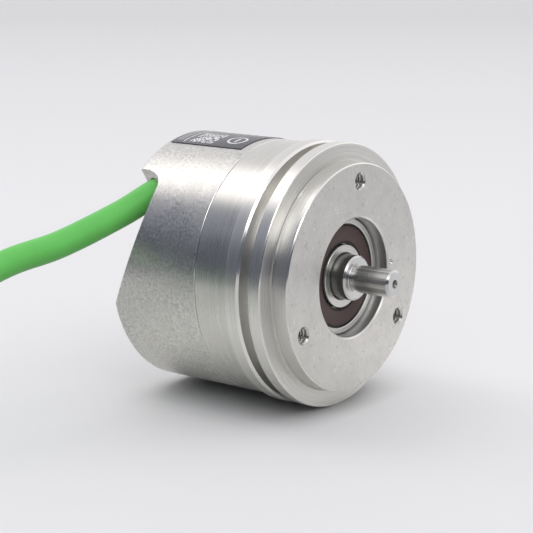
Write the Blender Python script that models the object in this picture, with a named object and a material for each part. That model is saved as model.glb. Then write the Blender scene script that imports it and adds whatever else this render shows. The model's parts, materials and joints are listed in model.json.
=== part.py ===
"""An optical rotary encoder: 58 mm synchro flange, 6 mm shaft, sealed bearings, side cable outlet.

The shaft runs along Y and its tip points to -Y. +Z is up, and the encoder rests on its flange rim.
Lengths below are in millimetres, and places along Y count from the flange shoulder that seats against
a machine. make_object moves the finished pieces so that the origin is the centre of the rear face.
"""

from math import cos, pi, radians, sin, sqrt, tan, tau

import bmesh
import bpy
from mathutils import Matrix, Vector

MM = 0.001

# Flange and housing, along Y from the shoulder
SPIGOT_R = 25.0
SPIGOT_Y = -4.0
RIM_R = 29.0
LIP_THICK = 3.0
GROOVE_R = 26.0
GROOVE_END_Y = 5.7
BAND_END_Y = 9.1
BODY_R = 28.25
JOINT_Y = 17.7
SEAM = 0.15
RECESS_R = 13.35
MOUNT_HOLE_CIRCLE_R = 21.0
MOUNT_HOLE_R = 1.65
MOUNT_HOLE_MOUTH_R = 2.15
MOUNT_HOLE_DEPTH = 9.0
MOUNT_HOLE_ANGLES = [4.3, 124.3, 244.3]
POCKET_Y = 8.5
POCKET_R = 24.0
CARRIER_R = 14.2
CARRIER_END_Y = 18.3
SEAT_END_GAP = 0.1
WEB_BORE_R = 9.5
WEB_END_Y = 9.3
RETAINER_GROOVE_R = 11.65
RETAINER_GROOVE_Y = (16.45, 17.6)
COLLAR_R = 26.0
COLLAR_END_Y = 20.4
O_RING_GROOVE_R = 25.0
O_RING_Y = 19.0
O_RING_GROOVE_HALF = 0.7
O_RING_THICK_R = 0.5

# Bosses inside the housing, on one circle; angles run from +Z towards +X
BOSS_CIRCLE_R = 22.4
BOSS_R = 2.4
BOSS_START_Y = 7.5
BOARD_SCREW_ANGLES = [70, 190, 310]
BOARD_BOSS_END_Y = 25.6
BOARD_TAP_R = 1.25
BOARD_TAP_Y = 19.5
COVER_SCREW_ANGLES = [10, 130, 250]
COVER_BOSS_END_Y = 19.9
COVER_TAP_R = 1.4
COVER_TAP_Y = 9.0

# Bearings: radii of the outside, ball circle, balls, raceway lands and seal seats; y is the front face
PRESS_GAP = 0.05
BALL_GAP = 0.2
CAGE_RIM = 0.6
SEAL_STEP = 1.2
RING_CHAMFER = 0.3
INNER_RING_PROUD = 0.2
SEAL_Y = (0.2, 0.9)
SHIELD_Y = (0.4, 0.8)
BEARING_BORE_R = 5.0
FRONT_BEARING = {
    "outer": 13.0, "pitch": 9.0, "ball": 2.2, "balls": 7, "width": 8.0, "y": -0.8,
    "inner_land": 7.4, "inner_seat": 6.94, "outer_land": 10.7, "outer_seat": 11.45,
}
REAR_BEARING = {
    "outer": 11.0, "pitch": 8.0, "ball": 1.4, "balls": 8, "width": 6.0, "y": 10.3,
    "inner_land": 7.0, "inner_seat": 6.6, "outer_land": 9.0, "outer_seat": 9.6,
}

# What holds the bearings: sleeve between the inner rings, wave washer and retaining ring at the rear one
SLEEVE_WALL = 1.4
WASHER_R = (9.8, 10.8)
WASHER_Y = 9.8
WASHER_THICK = 0.24
WASHER_RISE = 0.2
WASHER_WAVES = 3
RETAINER_R = (10.1, 11.5)
RETAINER_Y = (16.5, 17.5)
RETAINER_START = 25
RETAINER_TURN = 310

# Shaft
SHAFT_TIP_Y = -14.2
SHAFT_END_R = 3.0
SHAFT_COLLAR_Y = -4.58
SHAFT_NECK_R = 2.8
SHAFT_STEP_Y = 16.6
SHAFT_REAR_R = 4.0
SHAFT_REAR_Y = 24.2

# Code disc and scanning unit
DISC_R = 19.3
DISC_Y = 21.5
DISC_THICK = 1.0
DISC_BORE_R = 6.1
DISC_STEPS = 40
HUB_Y = 17.8
HUB_R = 7.0
HUB_FLANGE_R = 10.0
HUB_SPIGOT_R = 6.0
CLAMP_R = 9.0
CLAMP_THICK = 1.0
TRACK_R = 17.2
BOARD_Y = 25.8
BOARD_THICK = 1.6
BOARD_R = 25.0
BOARD_HOLE_R = 1.4
BOARD_CLEARANCE_R = 1.7
BOARD_SCREW_R = 1.1
BOARD_SCREW_HEAD_R = 2.1
PLUG_GAP = 0.1

# Rear cover and its cable pocket
COVER_END_Y = 41.3
COVER_WALL = 1.95
COVER_CHAMFER = 0.5
COVER_SCREW_R = 1.2
COVER_SCREW_HEAD_R = 2.2
COVER_SCREW_SUNK = 0.3
COVER_SCREW_TIP_Y = 9.6
POCKET_ANGLE = -53.7
POCKET_SLOPE = 0.679
POCKET_PLANE_Y = 53.2
POCKET_WALL_T = 7.1
POCKET_FILLET_R = 5.5
POCKET_LEAN = 0.3
POCKET_RIM_REACH = 30.0
POCKET_FILLET_STEPS = 6
POCKET_REACH = 70.0

# Cable: centre line from inside the cover, out of the pocket, down to the ground beside the flange
JACKET_R = 3.0
JACKET_BORE_R = 2.25
SHIELD_R = 2.05
SHIELD_BORE_R = 1.65
CORE_R = 0.5
CORE_CIRCLE_R = 0.85
CORE_SLOTS = [0, 2, 3, 1]
SHIELD_BARE = 4.0
CORE_BARE = 9.0
CABLE_START = Vector((-11.0, 33.8, 18.8))
CABLE_EXIT = Vector((-16.6, 37.6, 17.0))
CABLE_POINTS = [
    CABLE_START,
    CABLE_EXIT,
    Vector((-24.0, 42.3, 12.4)),
    Vector((-38.4, 46.8, 7.4)),
    Vector((-53.2, 50.0, 4.6)),
    Vector((-75.0, 54.0, -3.0)),
    Vector((-95.0, 57.5, -16.0)),
    Vector((-109.0, 60.0, -24.6)),
    Vector((-124.0, 62.0, -25.9)),
]
CABLE_HOLE_R = 3.6
CABLE_BORE_R = 4.4
CABLE_BORE_END_Y = -0.9
PATH_STEPS = 3
GROMMET_R = (3.35, 4.25)
GROMMET_Y = (-3.8, -1.25)
FERRULE_R = (3.2, 3.7)
FERRULE_LENGTH = 2.2

# Label wrapped on the cover
LABEL_ANGLES = (-18.0, 62.0)
LABEL_Y = (20.4, 40.3)
LABEL_GAP = 0.06
LABEL_THICK = 0.15

TO_ORIGIN = Matrix.Translation((0, -COVER_END_Y * MM, 0))

# How many flats a full circle is divided into, by the size of the piece
HOUSING_STEPS = 48
RING_STEPS = 24
SMALL_STEPS = 12
HOLE_STEPS = 10
FITTING_STEPS = 16
O_RING_STEPS = 32
O_RING_SIDES = 6

# Cutters reach this far past the faces that they open
CLEAR = 1.0
SHARP_ANGLE = radians(35)

ALUMINIUM = ((0.62, 0.62, 0.61), 0.38, 1.0)
CAST_ALUMINIUM = ((0.55, 0.55, 0.54), 0.55, 1.0)
STEEL = ((0.60, 0.60, 0.60), 0.22, 1.0)
RING_STEEL = ((0.50, 0.50, 0.51), 0.25, 1.0)
BROWN_RUBBER = ((0.075, 0.035, 0.03), 0.55, 0.0)
BLACK_RUBBER = ((0.02, 0.02, 0.02), 0.7, 0.0)
GREEN_JACKET = ((0.10, 0.42, 0.09), 0.45, 0.0)
TINNED_COPPER = ((0.70, 0.68, 0.64), 0.35, 1.0)
BOARD_GREEN = ((0.02, 0.16, 0.07), 0.45, 0.0)
BLACK_PLASTIC = ((0.02, 0.02, 0.022), 0.4, 0.0)
WHITE_PLASTIC = ((0.75, 0.74, 0.70), 0.4, 0.0)
GLASS = ((0.75, 0.80, 0.80), 0.05, 0.0)
LABEL_GREY = ((0.08, 0.08, 0.095), 0.45, 0.0)
CORE_COLOURS = [
    ((0.80, 0.80, 0.78), 0.4, 0.0),
    ((0.75, 0.60, 0.05), 0.4, 0.0),
    ((0.05, 0.20, 0.60), 0.4, 0.0),
    ((0.75, 0.28, 0.04), 0.4, 0.0),
]


def clear_scene():
    for item in list(bpy.data.objects):
        bpy.data.objects.remove(item)


def make_material(name, finish):
    colour, roughness, metallic = finish
    material = bpy.data.materials.new(name)
    material.use_nodes = True
    shader = material.node_tree.nodes["Principled BSDF"]
    shader.inputs["Base Color"].default_value = (*colour, 1.0)
    shader.inputs["Roughness"].default_value = roughness
    shader.inputs["Metallic"].default_value = metallic
    return material


def make_object(name, bm, finish, place=None):
    """The finished object of a bmesh: closed, facing out, smooth except at its edges."""
    if place is not None:
        bm.transform(place)
    bm.transform(TO_ORIGIN)
    bmesh.ops.recalc_face_normals(bm, faces=bm.faces)
    if bm.calc_volume(signed=True) < 0:
        bmesh.ops.reverse_faces(bm, faces=bm.faces)
    mesh = bpy.data.meshes.new(name)
    bm.to_mesh(mesh)
    bm.free()
    item = bpy.data.objects.new(name, mesh)
    bpy.context.scene.collection.objects.link(item)
    if finish is not None:
        mesh.materials.append(make_material(name, finish))
        mesh.shade_smooth()
        mesh.set_sharp_from_angle(angle=SHARP_ANGLE)
    return item


def lathe(name, outline, finish, steps=RING_STEPS, place=None, start=0.0, turn=360.0):
    """Spins an outline of (radius, y) points about Y; an outline that reaches the axis closes there."""
    bm = bmesh.new()
    at_start = Matrix.Rotation(radians(start), 3, "Y")
    verts = [bm.verts.new(at_start @ Vector((0, y * MM, r * MM))) for r, y in outline]
    edges = [bm.edges.new(pair) for pair in zip(verts, verts[1:])]
    if outline[0][0] > 0 or outline[-1][0] > 0:
        edges.append(bm.edges.new((verts[-1], verts[0])))
    whole = turn == 360.0
    bmesh.ops.spin(
        bm, geom=verts + edges, cent=(0, 0, 0), axis=(0, 1, 0),
        angle=radians(turn), steps=steps, use_merge=whole,
    )
    bmesh.ops.remove_doubles(bm, verts=bm.verts, dist=1e-7)
    if not whole:
        bmesh.ops.holes_fill(bm, edges=bm.edges)
    return make_object(name, bm, finish, place)


def block(name, low, high, finish, bevel=0.0):
    """A box between two corners, with its edges bevelled."""
    bm = bmesh.new()
    bmesh.ops.create_cube(bm, size=1.0)
    low, high = Vector(low) * MM, Vector(high) * MM
    size = high - low
    bm.transform(Matrix.Translation((low + high) / 2) @ Matrix.Diagonal((*size, 1.0)))
    if bevel:
        bmesh.ops.bevel(bm, geom=bm.edges, offset=bevel * MM, segments=1, affect="EDGES")
    return make_object(name, bm, finish)


def combine(target, tool, operation):
    """Applies one Boolean to the target and removes the tool."""
    modifier = target.modifiers.new("shape", "BOOLEAN")
    modifier.operation = operation
    modifier.object = tool
    evaluated = target.evaluated_get(bpy.context.evaluated_depsgraph_get())
    mesh = bpy.data.meshes.new_from_object(evaluated)
    target.modifiers.clear()
    target.data = mesh
    bpy.data.objects.remove(tool)
    return target


def cut(target, tool):
    return combine(target, tool, "DIFFERENCE")


def join(target, tool):
    return combine(target, tool, "UNION")


def finish_edges(item):
    item.data.shade_smooth()
    item.data.set_sharp_from_angle(angle=SHARP_ANGLE)


def on_circle(radius, angle):
    """The translation to a point at this angle, from +Z towards +X, about the shaft axis."""
    return Matrix.Translation((radius * sin(radians(angle)) * MM, 0, radius * cos(radians(angle)) * MM))


def rod(name, radius, y0, y1, finish, steps, place=None):
    return lathe(name, [(0, y0), (radius, y0), (radius, y1), (0, y1)], finish, steps, place)


# Housing


def flange_housing():
    """The machined flange with its clamp groove, bearing seats, pocket and screw bosses."""
    outer = [
        (RECESS_R, SPIGOT_Y), (SPIGOT_R - 0.4, SPIGOT_Y), (SPIGOT_R, SPIGOT_Y + 0.4), (SPIGOT_R, 0),
        (RIM_R - 0.3, 0), (RIM_R, 0.3), (RIM_R, LIP_THICK - 0.2), (RIM_R - 0.2, LIP_THICK),
        (GROOVE_R, LIP_THICK), (GROOVE_R, GROOVE_END_Y), (RIM_R - 0.4, GROOVE_END_Y),
        (RIM_R, GROOVE_END_Y + 0.4), (RIM_R, BAND_END_Y), (BODY_R, BAND_END_Y), (BODY_R, JOINT_Y - SEAM),
    ]
    groove_y0, groove_y1 = O_RING_Y - O_RING_GROOVE_HALF, O_RING_Y + O_RING_GROOVE_HALF
    collar = [
        (COLLAR_R, JOINT_Y - SEAM), (COLLAR_R, groove_y0), (O_RING_GROOVE_R, groove_y0),
        (O_RING_GROOVE_R, groove_y1), (COLLAR_R, groove_y1), (COLLAR_R, COLLAR_END_Y),
        (POCKET_R, COLLAR_END_Y), (POCKET_R, POCKET_Y), (CARRIER_R, POCKET_Y), (CARRIER_R, CARRIER_END_Y),
    ]
    front_seat = FRONT_BEARING["outer"] + PRESS_GAP
    rear_seat = REAR_BEARING["outer"] + 2 * PRESS_GAP
    shoulder_y = FRONT_BEARING["y"] + FRONT_BEARING["width"] + SEAT_END_GAP
    retainer_y0, retainer_y1 = RETAINER_GROOVE_Y
    seats = [
        (rear_seat, CARRIER_END_Y), (rear_seat, retainer_y1), (RETAINER_GROOVE_R, retainer_y1),
        (RETAINER_GROOVE_R, retainer_y0), (rear_seat, retainer_y0), (rear_seat, WEB_END_Y),
        (WEB_BORE_R, WEB_END_Y), (WEB_BORE_R, shoulder_y), (front_seat, shoulder_y),
        (front_seat, SPIGOT_Y + RING_CHAMFER),
    ]
    housing = lathe("flange_housing", outer + collar + seats, ALUMINIUM, HOUSING_STEPS)
    bosses = (
        (BOARD_SCREW_ANGLES, BOARD_BOSS_END_Y, BOARD_TAP_R, BOARD_TAP_Y),
        (COVER_SCREW_ANGLES, COVER_BOSS_END_Y, COVER_TAP_R, COVER_TAP_Y),
    )
    for angles, end_y, tap_r, tap_y in bosses:
        for angle in angles:
            place = on_circle(BOSS_CIRCLE_R, angle)
            join(housing, rod("boss", BOSS_R, BOSS_START_Y, end_y, None, SMALL_STEPS, place))
            cut(housing, rod("hole", tap_r, tap_y, end_y + 1.5 * CLEAR, None, HOLE_STEPS, place))
    mouth = MOUNT_HOLE_MOUTH_R - MOUNT_HOLE_R
    end_y = SPIGOT_Y + MOUNT_HOLE_DEPTH
    hole = [
        (0, SPIGOT_Y - CLEAR), (MOUNT_HOLE_MOUTH_R + CLEAR, SPIGOT_Y - CLEAR),
        (MOUNT_HOLE_R, SPIGOT_Y + mouth), (MOUNT_HOLE_R, end_y), (0, end_y + MOUNT_HOLE_R / tan(radians(59))),
    ]
    for angle in MOUNT_HOLE_ANGLES:
        cut(housing, lathe("hole", hole, None, SMALL_STEPS, on_circle(MOUNT_HOLE_CIRCLE_R, angle)))
    finish_edges(housing)


# Bearings


def race(size, land, side):
    """Points of a ball groove from the front to the rear of its land; side is +1 outside the balls."""
    y_mid = size["y"] + size["width"] / 2
    pitch = size["pitch"]
    depth = size["ball"] + BALL_GAP
    bottom = pitch + side * depth
    shoulder = (land + bottom) / 2
    half_land = sqrt(depth * depth - (land - pitch) ** 2)
    half_shoulder = sqrt(depth * depth - (shoulder - pitch) ** 2)
    half_bottom = 0.15 * depth
    return [
        (land, y_mid - half_land), (shoulder, y_mid - half_shoulder), (bottom, y_mid - half_bottom),
        (bottom, y_mid + half_bottom), (shoulder, y_mid + half_shoulder), (land, y_mid + half_land),
    ]


def bearing_rings(prefix, size):
    y0, y1 = size["y"], size["y"] + size["width"]
    outer, land, seat = size["outer"], size["outer_land"], size["outer_seat"]
    outline = [
        (seat, y0), (outer - RING_CHAMFER, y0), (outer, y0 + RING_CHAMFER),
        (outer, y1 - RING_CHAMFER), (outer - RING_CHAMFER, y1), (seat, y1),
        (seat, y1 - SEAL_STEP), (land, y1 - SEAL_STEP), *reversed(race(size, land, 1)),
        (land, y0 + SEAL_STEP), (seat, y0 + SEAL_STEP),
    ]
    lathe(f"{prefix}_outer_ring", outline, RING_STEEL)
    front, land, seat = y0 - INNER_RING_PROUD, size["inner_land"], size["inner_seat"]
    outline = [
        (BEARING_BORE_R + RING_CHAMFER, front), (seat, front), (seat, y0 + SEAL_STEP), (land, y0 + SEAL_STEP),
        *race(size, land, -1), (land, y1 - SEAL_STEP), (seat, y1 - SEAL_STEP), (seat, y1),
        (BEARING_BORE_R, y1), (BEARING_BORE_R, front + RING_CHAMFER),
    ]
    lathe(f"{prefix}_inner_ring", outline, RING_STEEL)


def bearing_cage(prefix, size):
    """A ring between the races with one round pocket for each ball."""
    pitch, ball = size["pitch"], size["ball"]
    y_mid = size["y"] + size["width"] / 2
    half_r, half_y = 0.3 * ball, ball + CAGE_RIM
    outline = [
        (pitch - half_r, y_mid - half_y), (pitch + half_r, y_mid - half_y),
        (pitch + half_r, y_mid + half_y), (pitch - half_r, y_mid + half_y),
    ]
    cage = lathe(f"{prefix}_cage", outline, WHITE_PLASTIC)
    for index in range(size["balls"]):
        angle = 360.0 * index / size["balls"]
        stand = Matrix.Rotation(radians(angle), 4, "Y") @ Matrix.Translation((0, y_mid * MM, 0))
        upright = stand @ Matrix.Rotation(radians(90), 4, "X")
        hole_r = ball + BALL_GAP
        cut(cage, rod("pocket", hole_r, pitch - 2 * ball, pitch + 2 * ball, None, HOLE_STEPS, upright))
        bm = bmesh.new()
        bmesh.ops.create_icosphere(bm, subdivisions=2, radius=ball * MM)
        centre = stand @ Matrix.Translation((0, 0, pitch * MM))
        ball_item = make_object(f"{prefix}_ball_{index + 1}", bm, STEEL, centre)
        finish_edges(ball_item)
    finish_edges(cage)


def washer(name, radii, places, finish, steps=RING_STEPS, place=None, start=0.0, turn=360.0):
    """A flat ring between two radii and two places along its axis."""
    inner, outer = radii
    y0, y1 = places
    outline = [(inner, y0), (outer, y0), (outer, y1), (inner, y1)]
    return lathe(name, outline, finish, steps, place, start, turn)


def bearings():
    for prefix, size in (("front_bearing", FRONT_BEARING), ("rear_bearing", REAR_BEARING)):
        bearing_rings(prefix, size)
        bearing_cage(prefix, size)
        radii = (size["inner_seat"] + 0.2, size["outer_seat"] - 0.08)
        y0, y1 = size["y"], size["y"] + size["width"]
        near, far = SHIELD_Y
        if prefix == "front_bearing":
            washer("front_bearing_seal", radii, (y0 + SEAL_Y[0], y0 + SEAL_Y[1]), BROWN_RUBBER)
        else:
            washer("rear_bearing_front_shield", radii, (y0 + near, y0 + far), STEEL)
        washer(f"{prefix}_rear_shield", radii, (y1 - far, y1 - near), STEEL)


def spacer_sleeve():
    y0 = FRONT_BEARING["y"] + FRONT_BEARING["width"] + SEAT_END_GAP
    y1 = REAR_BEARING["y"] - INNER_RING_PROUD - SEAT_END_GAP
    washer("bearing_spacer_sleeve", (BEARING_BORE_R, BEARING_BORE_R + SLEEVE_WALL), (y0, y1), STEEL)


def wave_washer():
    """A ring bent into waves, which pushes the rear outer ring back."""
    half = WASHER_THICK / 2
    ring = washer("preload_wave_washer", WASHER_R, (WASHER_Y - half, WASHER_Y + half), STEEL)
    for vertex in ring.data.vertices:
        direction = Vector((vertex.co.z, vertex.co.x))
        turn = direction.angle_signed(Vector((1, 0)), 0.0)
        vertex.co.y += WASHER_RISE * MM * cos(WASHER_WAVES * turn)


def retaining_ring():
    """A ring with a gap, sprung into the groove behind the rear bearing."""
    start, turn = RETAINER_START, RETAINER_TURN
    washer("bearing_retaining_ring", RETAINER_R, RETAINER_Y, STEEL, RING_STEPS, None, start, turn)


# Rotor


def shaft():
    tip = SHAFT_TIP_Y
    collar = SHAFT_COLLAR_Y
    journal_r = BEARING_BORE_R - PRESS_GAP
    outline = [
        (0, tip + 1.3), (0.5, tip + 0.8), (0.9, tip), (SHAFT_END_R - 0.45, tip), (SHAFT_END_R, tip + 0.45),
        (SHAFT_END_R, collar - 0.7), (SHAFT_NECK_R, collar - 0.5), (SHAFT_NECK_R, collar),
        (journal_r - 0.5, collar), (journal_r, collar + 0.5), (journal_r, SHAFT_STEP_Y),
        (SHAFT_REAR_R, SHAFT_STEP_Y),
        (SHAFT_REAR_R, SHAFT_REAR_Y - 0.4), (SHAFT_REAR_R - 0.4, SHAFT_REAR_Y), (0, SHAFT_REAR_Y),
    ]
    lathe("shaft", outline, STEEL)


def disc_group():
    """The hub on the shaft's rear end, the glass disc on its shoulder and the ring that clamps the disc."""
    bore = SHAFT_REAR_R + PRESS_GAP
    seat_y = DISC_Y - 0.1
    flange_y = seat_y - 1.0
    disc_end = DISC_Y + DISC_THICK
    clamp_y = disc_end + 0.1
    top_y = clamp_y + CLAMP_THICK + 0.3
    hub = [
        (bore, HUB_Y), (HUB_R, HUB_Y), (HUB_R, flange_y), (HUB_FLANGE_R, flange_y), (HUB_FLANGE_R, seat_y),
        (HUB_SPIGOT_R, seat_y), (HUB_SPIGOT_R, top_y), (bore, top_y),
    ]
    lathe("disc_hub", hub, ALUMINIUM)
    washer("code_disc", (DISC_BORE_R, DISC_R), (DISC_Y, disc_end), GLASS, DISC_STEPS)
    washer("disc_clamp_ring", (DISC_BORE_R, CLAMP_R), (clamp_y, clamp_y + CLAMP_THICK), ALUMINIUM)


# Scanning unit and electronics


def scanning_unit():
    """Light goes from the LED through the lens, the disc and the reticle to the detector on the board."""
    holder = block("led_holder", (TRACK_R - 2.6, 8.7, -3.6), (TRACK_R + 3.2, 21.0, 3.6), BLACK_PLASTIC, 0.4)
    optical_axis = on_circle(TRACK_R, 90)
    led_y, lens_y, end_y = 15.2, 19.6, 22.0
    cut(holder, rod("bore", 1.7, led_y - 0.2, end_y, None, SMALL_STEPS, optical_axis))
    cut(holder, rod("bore", 2.2, lens_y - 0.2, end_y, None, SMALL_STEPS, optical_axis))
    finish_edges(holder)
    dome_y = led_y + 2.4
    led = [(0, led_y), (1.5, led_y), (1.5, dome_y), (1.2, dome_y + 0.8), (0.6, dome_y + 1.3), (0, dome_y + 1.5)]
    lathe("led_emitter", led, WHITE_PLASTIC, SMALL_STEPS, optical_axis)
    lens = [(0, lens_y), (2.0, lens_y), (2.0, lens_y + 0.5), (1.3, lens_y + 0.9), (0, lens_y + 1.1)]
    lathe("condenser_lens", lens, GLASS, SMALL_STEPS, optical_axis)
    reticle_y = DISC_Y + DISC_THICK + 0.5
    chip_y = reticle_y + 0.9
    block("scanning_reticle", (TRACK_R - 3.0, reticle_y, -3.0), (TRACK_R + 2.4, reticle_y + 0.7, 3.0), GLASS)
    block("detector_chip", (TRACK_R - 2.6, chip_y, -2.6), (TRACK_R + 2.0, BOARD_Y - 0.1, 2.6), BLACK_PLASTIC)


def circuit_board():
    y1 = BOARD_Y + BOARD_THICK
    board = rod("circuit_board", BOARD_R, BOARD_Y, y1, BOARD_GREEN, HOUSING_STEPS)
    for angles, radius in ((BOARD_SCREW_ANGLES, BOARD_HOLE_R), (COVER_SCREW_ANGLES, BOARD_CLEARANCE_R)):
        for angle in angles:
            place = on_circle(BOSS_CIRCLE_R, angle)
            cut(board, rod("hole", radius, BOARD_Y - CLEAR, y1 + CLEAR, None, HOLE_STEPS, place))
    finish_edges(board)
    for index, angle in enumerate(BOARD_SCREW_ANGLES):
        head_y = y1 + 0.1
        tip_y = BOARD_TAP_Y + CLEAR
        screw = [
            (0, tip_y), (BOARD_SCREW_R, tip_y), (BOARD_SCREW_R, head_y), (BOARD_SCREW_HEAD_R, head_y),
            (BOARD_SCREW_HEAD_R, head_y + 1.2), (BOARD_SCREW_HEAD_R - 0.3, head_y + 1.5),
            (0.9, head_y + 1.5), (0.9, head_y + 0.6), (0, head_y + 0.4),
        ]
        lathe(f"board_screw_{index + 1}", screw, STEEL, HOLE_STEPS, on_circle(BOSS_CIRCLE_R, angle))


def board_connector():
    """The header on the board and the plug of the cable's cores on top of it."""
    header_y = BOARD_Y + BOARD_THICK + PLUG_GAP
    plug_y = header_y + 3.2 + 2 * PLUG_GAP
    block("board_header", (-9.0, header_y, 5.6), (3.0, header_y + 3.2, 11.4), BLACK_PLASTIC, 0.3)
    block("cable_plug", (-8.4, plug_y, 6.2), (2.4, plug_y + 3.0, 11.0), WHITE_PLASTIC, 0.3)


# Rear cover


def pocket_cutter(grown):
    """The space of the cable pocket: a sloping floor and a wall that leans outward, joined by a round corner."""
    angle = radians(POCKET_ANGLE)
    radial = Vector((sin(angle), 0, cos(angle)))
    across = Vector((cos(angle), 0, -sin(angle)))
    out = (POCKET_SLOPE * radial + Vector((0, 1, 0))).normalized()
    along = across.cross(out)
    corner_t = POCKET_WALL_T - POCKET_FILLET_R
    corner_r = POCKET_FILLET_R + grown
    outline = [(-POCKET_REACH, -grown)]
    for step in range(POCKET_FILLET_STEPS + 1):
        turn = -pi / 2 + step * pi / 2 / POCKET_FILLET_STEPS
        outline.append((corner_t + corner_r * cos(turn), POCKET_FILLET_R + corner_r * sin(turn)))
    outline += [(POCKET_WALL_T + grown, POCKET_REACH), (-POCKET_REACH, POCKET_REACH)]
    bm = bmesh.new()
    sweep = along + POCKET_LEAN * across
    rim = Vector((0, POCKET_PLANE_Y, 0)) + POCKET_RIM_REACH * along
    base = rim - POCKET_REACH * sweep
    face = bm.faces.new([bm.verts.new((base + t * across + h * out) * MM) for t, h in outline])
    swept = bmesh.ops.extrude_face_region(bm, geom=[face])["geom"]
    moved = [item for item in swept if isinstance(item, bmesh.types.BMVert)]
    bmesh.ops.translate(bm, verts=moved, vec=2 * POCKET_REACH * MM * sweep)
    return make_object("pocket", bm, None)


def cable_direction():
    return (CABLE_EXIT - CABLE_START).normalized()


def along_cable(offset):
    """The placement that turns Y onto the cable's line through the cover."""
    turn = Vector((0, 1, 0)).rotation_difference(cable_direction()).to_matrix().to_4x4()
    return Matrix.Translation((CABLE_EXIT + offset * cable_direction()) * MM) @ turn


def rear_cover():
    """A cast cup that closes the housing, with the cable pocket cut into its rear edge."""
    y0, y1 = JOINT_Y + SEAM, COVER_END_Y
    shell = [(0, y0), (BODY_R, y0), (BODY_R, y1 - COVER_CHAMFER), (BODY_R - COVER_CHAMFER, y1), (0, y1)]
    cover = lathe("rear_cover", shell, CAST_ALUMINIUM, HOUSING_STEPS)
    hollow = rod("hollow", BODY_R - COVER_WALL, y0 - CLEAR, y1 - COVER_WALL, None, HOUSING_STEPS)
    cut(hollow, pocket_cutter(COVER_WALL))
    cut(cover, hollow)
    cut(cover, pocket_cutter(0))
    cut(cover, rod("hole", CABLE_HOLE_R, -2, 9, None, 20, along_cable(0)))
    cut(cover, rod("bore", CABLE_BORE_R, -6.5, CABLE_BORE_END_Y, None, 20, along_cable(0)))
    hole_r = COVER_SCREW_R + 0.3
    sink_y = y1 - 1.7
    sink_end_y = y1 + CLEAR / 2
    sink = [
        (0, sink_y - 2), (hole_r, sink_y - 2), (hole_r, sink_y), (hole_r + 2.1, sink_end_y), (0, sink_end_y),
    ]
    for angle in COVER_SCREW_ANGLES:
        cut(cover, lathe("sink", sink, None, SMALL_STEPS, on_circle(BOSS_CIRCLE_R, angle)))
    finish_edges(cover)


def cover_screws():
    """Long countersunk screws with a plain round drive, sunk a little below the rear face."""
    head_y = COVER_END_Y - COVER_SCREW_SUNK
    screw = [
        (0, COVER_SCREW_TIP_Y), (COVER_SCREW_R, COVER_SCREW_TIP_Y), (COVER_SCREW_R, head_y - 1.3),
        (COVER_SCREW_HEAD_R, head_y), (1.0, head_y), (1.0, head_y - 0.9), (0, head_y - 1.1),
    ]
    for index, angle in enumerate(COVER_SCREW_ANGLES):
        lathe(f"cover_screw_{index + 1}", screw, STEEL, HOLE_STEPS, on_circle(BOSS_CIRCLE_R, angle))


def cover_o_ring():
    radius = O_RING_GROOVE_R + 0.15 + O_RING_THICK_R
    turns = [step * tau / O_RING_SIDES for step in range(O_RING_SIDES)]
    outline = [(radius + O_RING_THICK_R * cos(t), O_RING_Y + O_RING_THICK_R * sin(t)) for t in turns]
    lathe("cover_o_ring", outline, BLACK_RUBBER, O_RING_STEPS)


def label():
    inner = BODY_R + LABEL_GAP
    start, end = LABEL_ANGLES
    washer("label", (inner, inner + LABEL_THICK), LABEL_Y, LABEL_GREY, RING_STEPS, None, start, end - start)


# Cable


def smooth_path(points, steps):
    """Catmull-Rom curve through the points."""
    ends = [2 * points[0] - points[1], *points, 2 * points[-1] - points[-2]]
    path = []
    for p0, p1, p2, p3 in zip(ends, ends[1:], ends[2:], ends[3:]):
        for step in range(steps):
            t = step / steps
            linear = p2 - p0
            square = 2 * p0 - 5 * p1 + 4 * p2 - p3
            cube = 3 * p1 - p0 - 3 * p2 + p3
            path.append((2 * p1 + t * linear + t * t * square + t * t * t * cube) / 2)
    return [*path, points[-1]]


def frames_along(path):
    """For each point: the point and two unit vectors square to the path, carried without twisting."""
    side = Vector((0, 0, 1))
    frames = []
    for index, point in enumerate(path):
        before = path[max(index - 1, 0)]
        after = path[min(index + 1, len(path) - 1)]
        forward = (after - before).normalized()
        side = (side - side.dot(forward) * forward).normalized()
        frames.append((point, side, forward.cross(side)))
    return frames


def ring_points(frame, radius, sides):
    centre, side, up = frame
    return [centre + radius * (cos(tau * i / sides) * side + sin(tau * i / sides) * up) for i in range(sides)]


def chain(name, rings, finish, endless):
    """Joins neighbouring rings of points with quads; an endless chain also joins its last to its first."""
    bm = bmesh.new()
    rows = [[bm.verts.new(point * MM) for point in ring] for ring in rings]
    pairs = list(zip(rows, rows[1:]))
    if endless:
        pairs.append((rows[-1], rows[0]))
    else:
        bm.faces.new(rows[0])
        bm.faces.new(rows[-1])
    for one, two in pairs:
        for i in range(len(one)):
            j = (i + 1) % len(one)
            bm.faces.new((one[i], one[j], two[j], two[i]))
    return make_object(name, bm, finish)


def tube(name, frames, outer, inner, finish, sides):
    """An open tube along the frames: its outer skin forwards, then its inner skin back."""
    rings = [ring_points(frame, outer, sides) for frame in frames]
    rings += [ring_points(frame, inner, sides) for frame in reversed(frames)]
    chain(name, rings, finish, True)


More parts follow.
